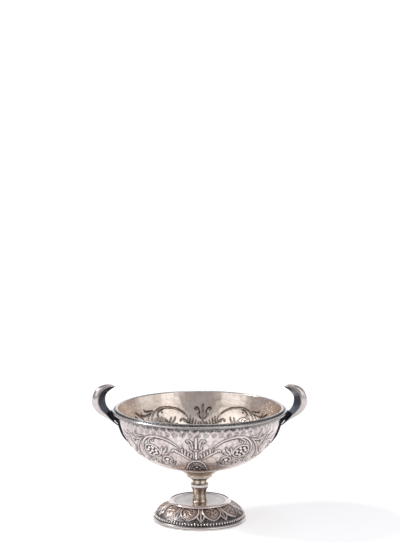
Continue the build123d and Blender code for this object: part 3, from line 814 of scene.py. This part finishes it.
# %% Beads
seeds = bpy.data.meshes.new("ornament_beads")
seeds.from_pydata([(*(place * MM), 0) for place, _ in beads], [], [])
sizes = seeds.attributes.new("size", "FLOAT", "POINT").data
sizes.foreach_set("value", [radius * MM for _, radius in beads])
punch, given = new_tree("punched_beads", Height_share=0.6, Segments=14, Rings=8,
                        Material=chased_silver)
size = geo(punch, "InputNamedAttribute", {"data_type": "FLOAT"}, Name="size")
ball = geo(punch, "MeshUVSphere", Segments=given["Segments"], Rings=given["Rings"], Radius=1.0)
low = maths(punch, "MULTIPLY", size, given["Height share"])
placed = geo(punch, "InstanceOnPoints", Points=given["Geometry"], Instance=ball,
             Scale=vector(punch, X=size, Y=size, Z=low))
solid = geo(punch, "RealizeInstances", Geometry=placed)
hand_over(punch, geo(punch, "Group", {"node_tree": wrap}, Geometry=solid), given["Material"])
wear(made_by(punch, put("ornament_beads", seeds)), chased_silver, slot="chased_silver")

# %% [markdown]
# ## The rim
#
# A drawn moulding is soldered over the raw edge of the bowl: a rolled crest, a cove and an outer
# bead. The cove stays darker than the crest and the bead, partly with tarnish that the polishing
# cloth misses and partly with painted shade; painted shade also darkens the crest's inner edge and
# the underside of the bead.

# %% Rim moulding
RIM_RADIUS = MOUTH_RADIUS + 2.9
LIP_RADIUS = MOUTH_RADIUS - WALL / cos(FLARE)
BEAD = 1.05
SEAT_DROP = 2.7
bead_centre = (RIM_RADIUS - BEAD, MOUTH_HEIGHT - 1.45)
crest_end = (LIP_RADIUS + 2.1, MOUTH_HEIGHT + 0.3)
seat = (MOUTH_RADIUS - SEAT_DROP * tan(FLARE), MOUTH_HEIGHT - SEAT_DROP, 0.9)


def circle_points(centre, radius, degrees):
    return [(centre[0] + radius * cos(radians(t)), centre[1] + radius * sin(radians(t)))
            for t in degrees]


# the crest darkens at its inner edge and towards the cove: painted shade, which also dims the key
# lamp's glint, with some tarnish in the cove
crest = with_oxide(arc((LIP_RADIUS, MOUTH_HEIGHT), crest_end, 0.8, 12),
                   np.interp(np.arange(13), [0, 3, 5, 9, 12], [0.45, 0.3, 0.1, 0.55, 0.9]))
bead_turns = range(115, -91, -15)
round_bead = circle_points(bead_centre, BEAD, bead_turns)
cove = with_oxide(arc(crest_end, round_bead[0], -0.2, 6), 1.0)
# the bead darkens towards its underside: painted shadow under the bead
round_bead = with_oxide(round_bead, np.interp(bead_turns, [-90, -40, -10, 25, 75, 110],
                                              [1, 0.85, 0.6, 0.2, 0.35, 0.9]))
rim = spin("rim_moulding", crest + cove[1:-1] + round_bead
           + [seat, (MOUTH_RADIUS, MOUTH_HEIGHT, 0.9)], 256, 60)
wear(rim, polished_silver, "rim_moulding")

# %% [markdown]
# ## Calyx, collar, stem and knop
#
# Under the bowl a small convex calyx gathers the weight into the stem. These pieces are turned. The
# calyx and the stem have a warm, bronzed tarnish, collar and knop ring are polished silver, and each
# is darkest where two of them meet.

# %% Turned pieces of the stem
TENON, BORE = 3.6, 1.6
REFLECTION_BANDS, REFLECTION_BAND_STRENGTH, REFLECTION_BAND_TURN = 7, 0.25, radians(4)
# from below: a round lip, the convex body with its tarnish, and a fine ring under the bowl
calyx_side = [(8.4, 31.5, 0.3), (9.0, 31.58, 0.0), (9.3, 31.85, 0.0), (9.25, 32.15, 0.0),
              (9.15, 32.35, 0.8), (9.9, 32.7, 0.35), (10.9, 33.25, 0.05), (11.6, 33.8, 0.0),
              (12.3, 34.4, 0.1), (13.0, 35.1, 0.1), (13.7, 35.8, 0.35), (14.1, 36.15, 0.95),
              (14.5, 36.3, 0.1), (14.9, 36.6, 0.0), (15.1, 37.0, 0.0), (15.15, 37.35, 0.1),
              (15.1, 37.5, 0.9), (16.3, 38.5, 0.4), (15.1, 38.5, 0.8)]
calyx_hollow = with_oxide(arc((15.1, 38.5), (8.4, 32.7), 0.55, 8), 0.5)
calyx = spin("calyx", calyx_side + calyx_hollow + [(TENON, 32.7), (TENON, 31.5)], 128)
wear(calyx, calyx_silver, "calyx", slot="warm_silver")
collar = spin("upper_collar", with_oxide(arc((8.4, 31.5), (8.9, 30.8), 0.18, 5), 0.05)
              + [(5.6, 28.4, 0.55), (TENON, 28.4, 0.8), (TENON, 31.5, 0.8)], 128, 50)
wear(collar, polished_silver, "upper_collar")

waist = smooth_line([(5.6, 13.1), (5.0, 14.0), (4.65, 15.5), (4.47, 17.3), (4.45, 18.8),
                     (4.7, 20.6), (5.35, 22.5)], 0.5).tolist()
waist = with_oxide(waist, np.linspace(0.55, 0.48, len(waist)))
stem = spin("stem", waist + [(5.0, 22.5, 0.6), (5.0, 28.4, 0.5), (TENON, 28.4), (TENON, 33.4),
                             (BORE, 33.4), (BORE, 11.3), (TENON, 11.3), (TENON, 13.1)], 96)
# upright bands of painted reflection: lighter and darker stripes round the stem, as a polished column
# mirrors what stands round it
oxide, points = stem.data.attributes["oxide"].data, stem.data.vertices
values, places = np.empty(len(points), "f"), np.empty(3 * len(points), "f")
oxide.foreach_get("value", values)
points.foreach_get("co", places)
turn = np.arctan2(places[1::3], places[0::3]) + pi / 2 - REFLECTION_BAND_TURN
values = np.clip(values + REFLECTION_BAND_STRENGTH * np.cos(REFLECTION_BANDS * turn), 0, 1)
oxide.foreach_set("value", values.astype("f"))
wear(stem, warm_silver, "stem", slot="warm_silver")

knop_side = smooth_line([(5.7, 22.5), (6.1, 23.6), (6.2, 24.9), (5.95, 25.8), (5.35, 26.1)],
                        0.3).tolist()
knop_oxide = np.interp([height for _, height in knop_side], [22.5, 23.3, 24.6, 25.2, 26.1],
                       [0.7, 0.15, 0.05, 0.35, 0.5])
knop = spin("knop_ring", with_oxide(knop_side, knop_oxide) + [(5.0, 26.1, 0.6), (5.0, 22.5, 0.6)],
            96, 55)
wear(knop, polished_silver, "knop_ring")

# %% [markdown]
# ## The foot
#
# From the top: a drip dish with a rolled lip, a domed skirt with ten chased leaves, a wire of
# beads, and an upright base ring. The dish and the base ring are plain turned pieces.

# %% Drip dish and base ring
BASE_RADIUS = 32.2
dish = spin("foot_dish", [(TENON, 13.1), (TENON, 12.3), (20.0, 12.3, 0.9)]
            + with_oxide(circle_points((21.25, 13.3), 0.55, range(-90, 61, 15)), 0.0)
            + with_oxide(arc((21.525, 13.776), (19.4, 14.65), -0.275, 8)[1:], 0.02)
            + [(18.9, 14.25, 0.1), (18.3, 13.9, 0.2), (17.4, 13.6, 0.5), (16.0, 13.35, 0.42),
               (13.5, 13.18, 0.4), (6.5, 13.1, 0.55)], 160, 50)
wear(dish, polished_silver, "foot_dish")
base = spin("base_ring", [(BASE_RADIUS - inset, height, dark) for inset, height, dark in (
    (4.3, 0, 0.5), (0.2, 0, 0.25), (0, 0.2, 0.1), (0, 0.92, 0.08), (0.3, 1.15, 0.9),
    (0, 1.38, 0.08), (0, 2.0, 0.08), (0.2, 2.2, 0.1), (1.0, 3.0, 0.9), (4.3, 3.0, 0.9))], 192, 35)
wear(base, polished_silver, "base_ring")

# %% Beaded wire
start = bpy.data.meshes.new("beaded_wire")
start.from_pydata([(0, 0, 0)], [], [])
string, given = new_tree("beaded_wire", Bead_count=90, Ring_radius=0.0304, Bead_radius=0.00098,
                         Core_radius=0.0006, Height=0.00403, Material=black_silver)
ring = geo(string, "MeshCircle", Vertices=given["Bead count"], Radius=given["Ring radius"])
ball = geo(string, "MeshUVSphere", Segments=16, Rings=10, Radius=given["Bead radius"])
ball_up = add_node(string, "ShaderNodeSeparateXYZ", Vector=geo(string, "InputPosition")).outputs[2]
store = partial(geo, string, "StoreNamedAttribute", {"data_type": "FLOAT", "domain": "POINT"},
                Name="oxide")
# each bead darkens towards its underside: painted shade under the bead
ball = store(Geometry=ball, Value=ramp(string, ball_up, -0.0005, -0.0009))
ball = geo(string, "Transform", Geometry=ball, Scale=(1.0, 0.76, 1.04))
outward = add_node(string, "FunctionNodeAlignRotationToVector", {"axis": "X"},
                   Vector=geo(string, "InputPosition")).outputs["Rotation"]
strung = geo(string, "InstanceOnPoints", Points=ring, Instance=ball, Rotation=outward)
path = geo(string, "CurvePrimitiveCircle", Resolution=240, Radius=given["Ring radius"])
section = geo(string, "CurvePrimitiveCircle", Resolution=10, Radius=given["Core radius"])
core = geo(string, "CurveToMesh", Curve=path, Profile_Curve=section)
joined = join(string, strung, store(Geometry=core, Value=1.0))
hand_over(string, geo(string, "Transform", Geometry=joined,
                      Translation=vector(string, Z=given["Height"])), given["Material"])
wear(made_by(string, put("beaded_wire", start)), polished_silver, "beaded_wire",
     slot="oxidised_silver")

# %% [markdown]
# ## Leaves of the foot skirt
#
# Each leaf is a broad shield with a polished border, a spiral rosette in its upper part and fine
# veins below. Between two leaves the border of a narrower leaf shows as a bright V on black ground.
# The skirt is one grid whose height and tarnish come from the place within the leaf.

# %% Places on the skirt, and the leaf that each lies in
LEAVES = 10
LEAF_FIRST = radians(2.0)
SKIRT_COLUMNS = 880
SLOPE_LENGTH = 12.1
ROSETTE_DOWN = 4.3
slope = np.array(arc((20.3, 12.3), (29.87, 5.11), 0.95, 61))
turns = np.linspace(0, 2 * pi, SKIRT_COLUMNS, endpoint=False)
turn_grid, share_grid = np.meshgrid(turns, np.linspace(0, 1, len(slope)))
slope_radius = slope[:, :1] + 0 * turn_grid
pitch = 2 * pi / LEAVES
across = ((turn_grid - LEAF_FIRST + pitch / 2) % pitch - pitch / 2) * slope_radius
gap_across = np.abs(((turn_grid - LEAF_FIRST) % pitch - pitch / 2) * slope_radius)
along = share_grid * SLOPE_LENGTH
half_width = np.interp(share_grid, [0, 0.1, 0.22, 0.34, 0.46, 0.58, 0.7, 0.8, 0.9, 1],
                       [5.5, 6.05, 6.5, 6.7, 6.55, 6.0, 4.95, 3.4, 0.9, -2.4])
inside = half_width - np.abs(across)
leaf = step(inside, 0.12)
border = band(inside - 0.6, 0.45)
# spiral rosette in the leaf's upper part, and veins below it
reach = np.hypot(across, along - ROSETTE_DOWN)
bearing = np.arctan2(along - ROSETTE_DOWN, across)
whorl = np.sin(6 * bearing + reach * 1.3) * step(3.1 - reach, 0.15) * step(reach - 0.7, 0.15)
centre_bead = np.clip(1 - (reach / 0.75) ** 2, 0, 1)
whorl_ring = band(reach - 3.35, 0.3) * step(inside - 0.9, 0.1)
veins = np.sin((np.abs(across) + along * 0.8) * 2 * pi / 1.15)
veins *= step(along - ROSETTE_DOWN - 3.1, 0.2) * step(inside - 1.0, 0.1)
# narrow leaf between two leaves
v_line = np.interp(share_grid, [0, 0.5, 0.75, 0.97, 1], [4.8, 3.1, 2.2, 0.0, -0.6])
v_edge = band(v_line - gap_across - 0.35, 0.33) * (1 - leaf) * step(share_grid - 0.3, 0.03)
v_rib = band(gap_across, 0.28) * (1 - leaf) * step(0.9 - share_grid, 0.03)

# %% Skirt mesh
LEAF_RISE, BORDER_RISE, LEAF_SUNK, NARROW_RISE, RIB_RISE = 0.45, 0.4, 0.12, 0.3, 0.2
WHORL_RISE, BEAD_RISE, RING_RISE, VEIN_RISE = 0.14, 0.25, 0.15, 0.08
lift = LEAF_RISE * leaf + BORDER_RISE * border * leaf + WHORL_RISE * whorl * leaf \
    + BEAD_RISE * centre_bead + RING_RISE * whorl_ring * leaf + VEIN_RISE * veins * leaf \
    - LEAF_SUNK * leaf * step(inside - 1.0, 0.15) + NARROW_RISE * v_edge + RIB_RISE * v_rib
lift[[0, -1]] = 0
dark = 0.95 * (1 - leaf) * (1 - v_edge) * (1 - v_rib) + leaf * step(inside - 1.0, 0.1) * (
    0.5 - 0.5 * whorl - 0.3 * whorl_ring - 0.5 * centre_bead - 0.25 * veins) \
    + 0.75 * leaf * band(inside - 1.4, 0.3)
brown = leaf * step(inside - 0.9, 0.1) * 0.5
slope_way = np.gradient(slope, axis=0)
slope_out = np.stack([-slope_way[:, 1], slope_way[:, 0]], axis=1)
slope_out /= np.linalg.norm(slope_out, axis=1)[:, None]
if slope_out[0, 1] < 0:
    slope_out *= -1
# the plain lower edge and the hollow underside
rest = [(29.37, 5.11), (29.37, 3.0), (28.37, 3.0), (28.37, 5.11)] \
    + arc((28.37, 5.11), (19.7, 11.3), -0.95, 10)[1:] + [(TENON, 11.3), (TENON, 12.3)]
top = slope[:, None] + slope_out[:, None] * lift[..., None]
below = np.repeat(np.array(rest)[:, None], SKIRT_COLUMNS, axis=1)
radius, height = np.moveaxis(np.vstack([top, below]), -1, 0)
points = np.stack([radius * np.cos(turns), radius * np.sin(turns), height], axis=-1)
plain = np.zeros(len(rest) * SKIRT_COLUMNS)
skirt = mesh_object("foot_skirt", points.reshape(-1, 3),
                    ring_quads(len(points), SKIRT_COLUMNS, closed=True).tolist(), 50,
                    oxide=np.append(np.clip(dark, 0, 1), plain + 0.5),
                    warmth=np.append(brown, plain))
wear(skirt, skirt_silver, "foot_skirt", slot="chased_silver")

# %% [markdown]
# ## Handles
#
# Each handle is cast: a crescent with a rounded polished back, flat dark cheeks and a thin inner
# edge. It starts from a root block on the rim and a spur that stays clear of the wall. A dark strap
# carries on down the bowl. The horn is a skin over cross sections that grow and shrink along it.

# %% Horn
HORN_REACH = 14.1
HORN_BASE = BELLY_HEIGHT
HORN_RISE = 17.1
HORN_WIDTH = 8.4
HORN_POINT = 0.05
HORN_ROWS, HORN_COLUMNS = 72, 44
CREASE = 0.52
EDGE_HALF = 0.2
BACK_OXIDE = 0.1
# outer point across and up, inner point across and up, width, as shares of reach, rise and width
horn_shares = np.array([
    (-0.10, 0.930, -0.14, 0.890, 0.11),
    (0.11, 0.997, 0.02, 0.807, 0.36),
    (0.43, 0.971, 0.18, 0.702, 0.60),
    (0.73, 0.848, 0.29, 0.585, 0.81),
    (0.915, 0.620, 0.34, 0.444, 0.95),
    (1.00, 0.327, 0.33, 0.292, 1.00),
    (0.94, 0.100, 0.28, 0.140, 0.98),
    (0.75, -0.130, 0.17, 0.000, 0.88),
    (0.45, -0.310, 0.07, -0.130, 0.74),
    (0.17, -0.440, 0.04, -0.320, 0.52),
    (-0.05, -0.575, -0.12, -0.515, 0.31),
    (-0.25, -0.700, -0.29, -0.670, 0.12),
])


def horn_skin(name, side):
    """A closed skin through the cross sections, on the right (side 1) or the left (side -1)."""
    padded = with_ends(horn_shares)
    points, oxide = [], []
    for f in np.linspace(0, len(horn_shares) - 1, HORN_ROWS):
        k = min(int(f), len(horn_shares) - 2)
        row = between(padded[k:k + 4], f - k)
        outer = np.array((RIM_RADIUS + row[0] * HORN_REACH, HORN_BASE + row[1] * HORN_RISE))
        inner = np.array((RIM_RADIUS + row[2] * HORN_REACH, HORN_BASE + row[3] * HORN_RISE))
        width = max(row[4], HORN_POINT) * HORN_WIDTH / 2
        for s in range(HORN_COLUMNS):
            turn = 2 * pi * s / HORN_COLUMNS
            # the back is half an ellipse, the cheeks run nearly straight to a thin inner edge
            if cos(turn) >= 0:
                reach_in, across_y = CREASE + (1 - CREASE) * cos(turn), width * sin(turn)
                place = inner + (outer - inner) * reach_in
                oxide.append(BACK_OXIDE)
            else:
                lean = -cos(turn)
                narrowed = EDGE_HALF + (width - EDGE_HALF) * (1 - lean) ** 0.9
                across_y = np.sign(sin(turn)) * narrowed * min(1, abs(sin(turn)) * 3)
                place = inner + (outer - inner) * (CREASE * (1 - lean))
                # the cheeks darken towards the thin edge and near the rim: slate tarnish, and painted
                # shade on the cheeks
                low = np.clip((MOUTH_HEIGHT + 1 - place[1]) / 5, 0, 1)
                oxide.append(min(1.15, 0.4 + 5 * lean) + 0.3 * low)
            points.append((side * place[0], across_y, place[1]))
    faces = tube_faces(HORN_ROWS, HORN_COLUMNS, flip=side < 0)
    return mesh_object(name, points, faces, 40, oxide=oxide)


# %% Root block and strap
STRAP_HALF = 3.5
STRAP_TOP = 7.0
STRAP_TIP = 26.2
STRAP_ROWS = 40
ROOT_HALF = 2.6
ROOT_BEVEL = 0.3
strap_profile = [(-1, 0.0), (-1, 0.55), (-0.9, 0.85), (-0.6, 1.0), (0, 1.05), (0.6, 1.0),
                 (0.9, 0.85), (1, 0.55), (1, 0.0)]


def bevelled_slab(name, side, outline, half, bevel, oxide):
    """A slab with an outline in x and z, as thick as twice half in y, with bevelled edges."""
    outline = np.array(outline, float)
    inward = outline.mean(axis=0) - outline
    inward /= np.linalg.norm(inward, axis=1)[:, None]
    rows = [(outline + inward * inset, y)
            for inset, y in ((bevel, -half), (0, bevel - half), (0, half - bevel), (bevel, half))]
    points = [(side * x, y, z) for row, y in rows for x, z in row]
    faces = tube_faces(len(rows), len(outline), flip=side > 0)
    return mesh_object(name, points, faces, 30, oxide=[oxide] * len(points))


def strap_skin(name, side):
    """A tapered bar that follows the wall: square at the top, pointed below, with a soft back."""
    points = []
    tip_turn, top_turn = asin(STRAP_TIP / BELLY), asin(STRAP_TOP / BELLY)
    for share in np.arange(STRAP_ROWS) / (STRAP_ROWS - 1):
        turn = top_turn + (tip_turn - top_turn) * share
        half = STRAP_HALF * np.interp(share, [0, 0.34, 0.62, 0.85, 1], [1, 0.86, 0.63, 0.3, 0.02])
        thick = np.interp(share, [0, 0.5, 1], [1.55, 1.75, 0.65])
        for across, rise in strap_profile:
            y = across * half
            reach = BELLY + 0.1 + rise * thick
            radius, z = FLOOR_RADIUS + reach * cos(turn), BELLY_HEIGHT - reach * sin(turn)
            # the two edges that lie on the wall follow its roundness
            drop = radius - np.sqrt(max(radius ** 2 - y ** 2, 0)) if rise == 0 else 0
            points.append((side * (radius - drop), y, z))
    faces = tube_faces(STRAP_ROWS, len(strap_profile), flip=side > 0)
    return mesh_object(name, points, faces, 35, oxide=[0.8] * len(points))


# %% Both handles
strap_turn = asin(STRAP_TOP / BELLY)
root_outline = [(RIM_RADIUS + x, MOUTH_HEIGHT + z) for x, z in (
    (-0.1, -1.9), (1.4, -1.8), (2.6, -2.6), (2.6, -3.65), (0.9, -6.2), (-0.8, -7.7), (-2.1, -8.1),
    (-2.8, -9.2), (-3.7, -10.2))]
root_outline += [
    (FLOOR_RADIUS + (BELLY + 1.6) * cos(strap_turn) - 1.2, BELLY_HEIGHT - STRAP_TOP - 1.3),
    (FLOOR_RADIUS + BELLY * cos(strap_turn) + 0.1, BELLY_HEIGHT - STRAP_TOP),
    (seat[0] + 0.1, seat[1] - 0.15), (bead_centre[0], bead_centre[1] - BEAD - 0.1),
    (RIM_RADIUS - 0.2, bead_centre[1] - 0.7)]
for side, word in ((1, "right"), (-1, "left")):
    horn = horn_skin(f"horn_{word}_crescent", side)
    wear(horn, horn_silver, f"horn_{word}")
    root = bevelled_slab(f"horn_{word}_root", side, root_outline, ROOT_HALF, ROOT_BEVEL, 0.95)
    wear(root, black_silver, f"horn_{word}")
    strap = strap_skin(f"strap_{word}", side)
    wear(strap, black_silver, f"strap_{word}", slot="oxidised_silver")
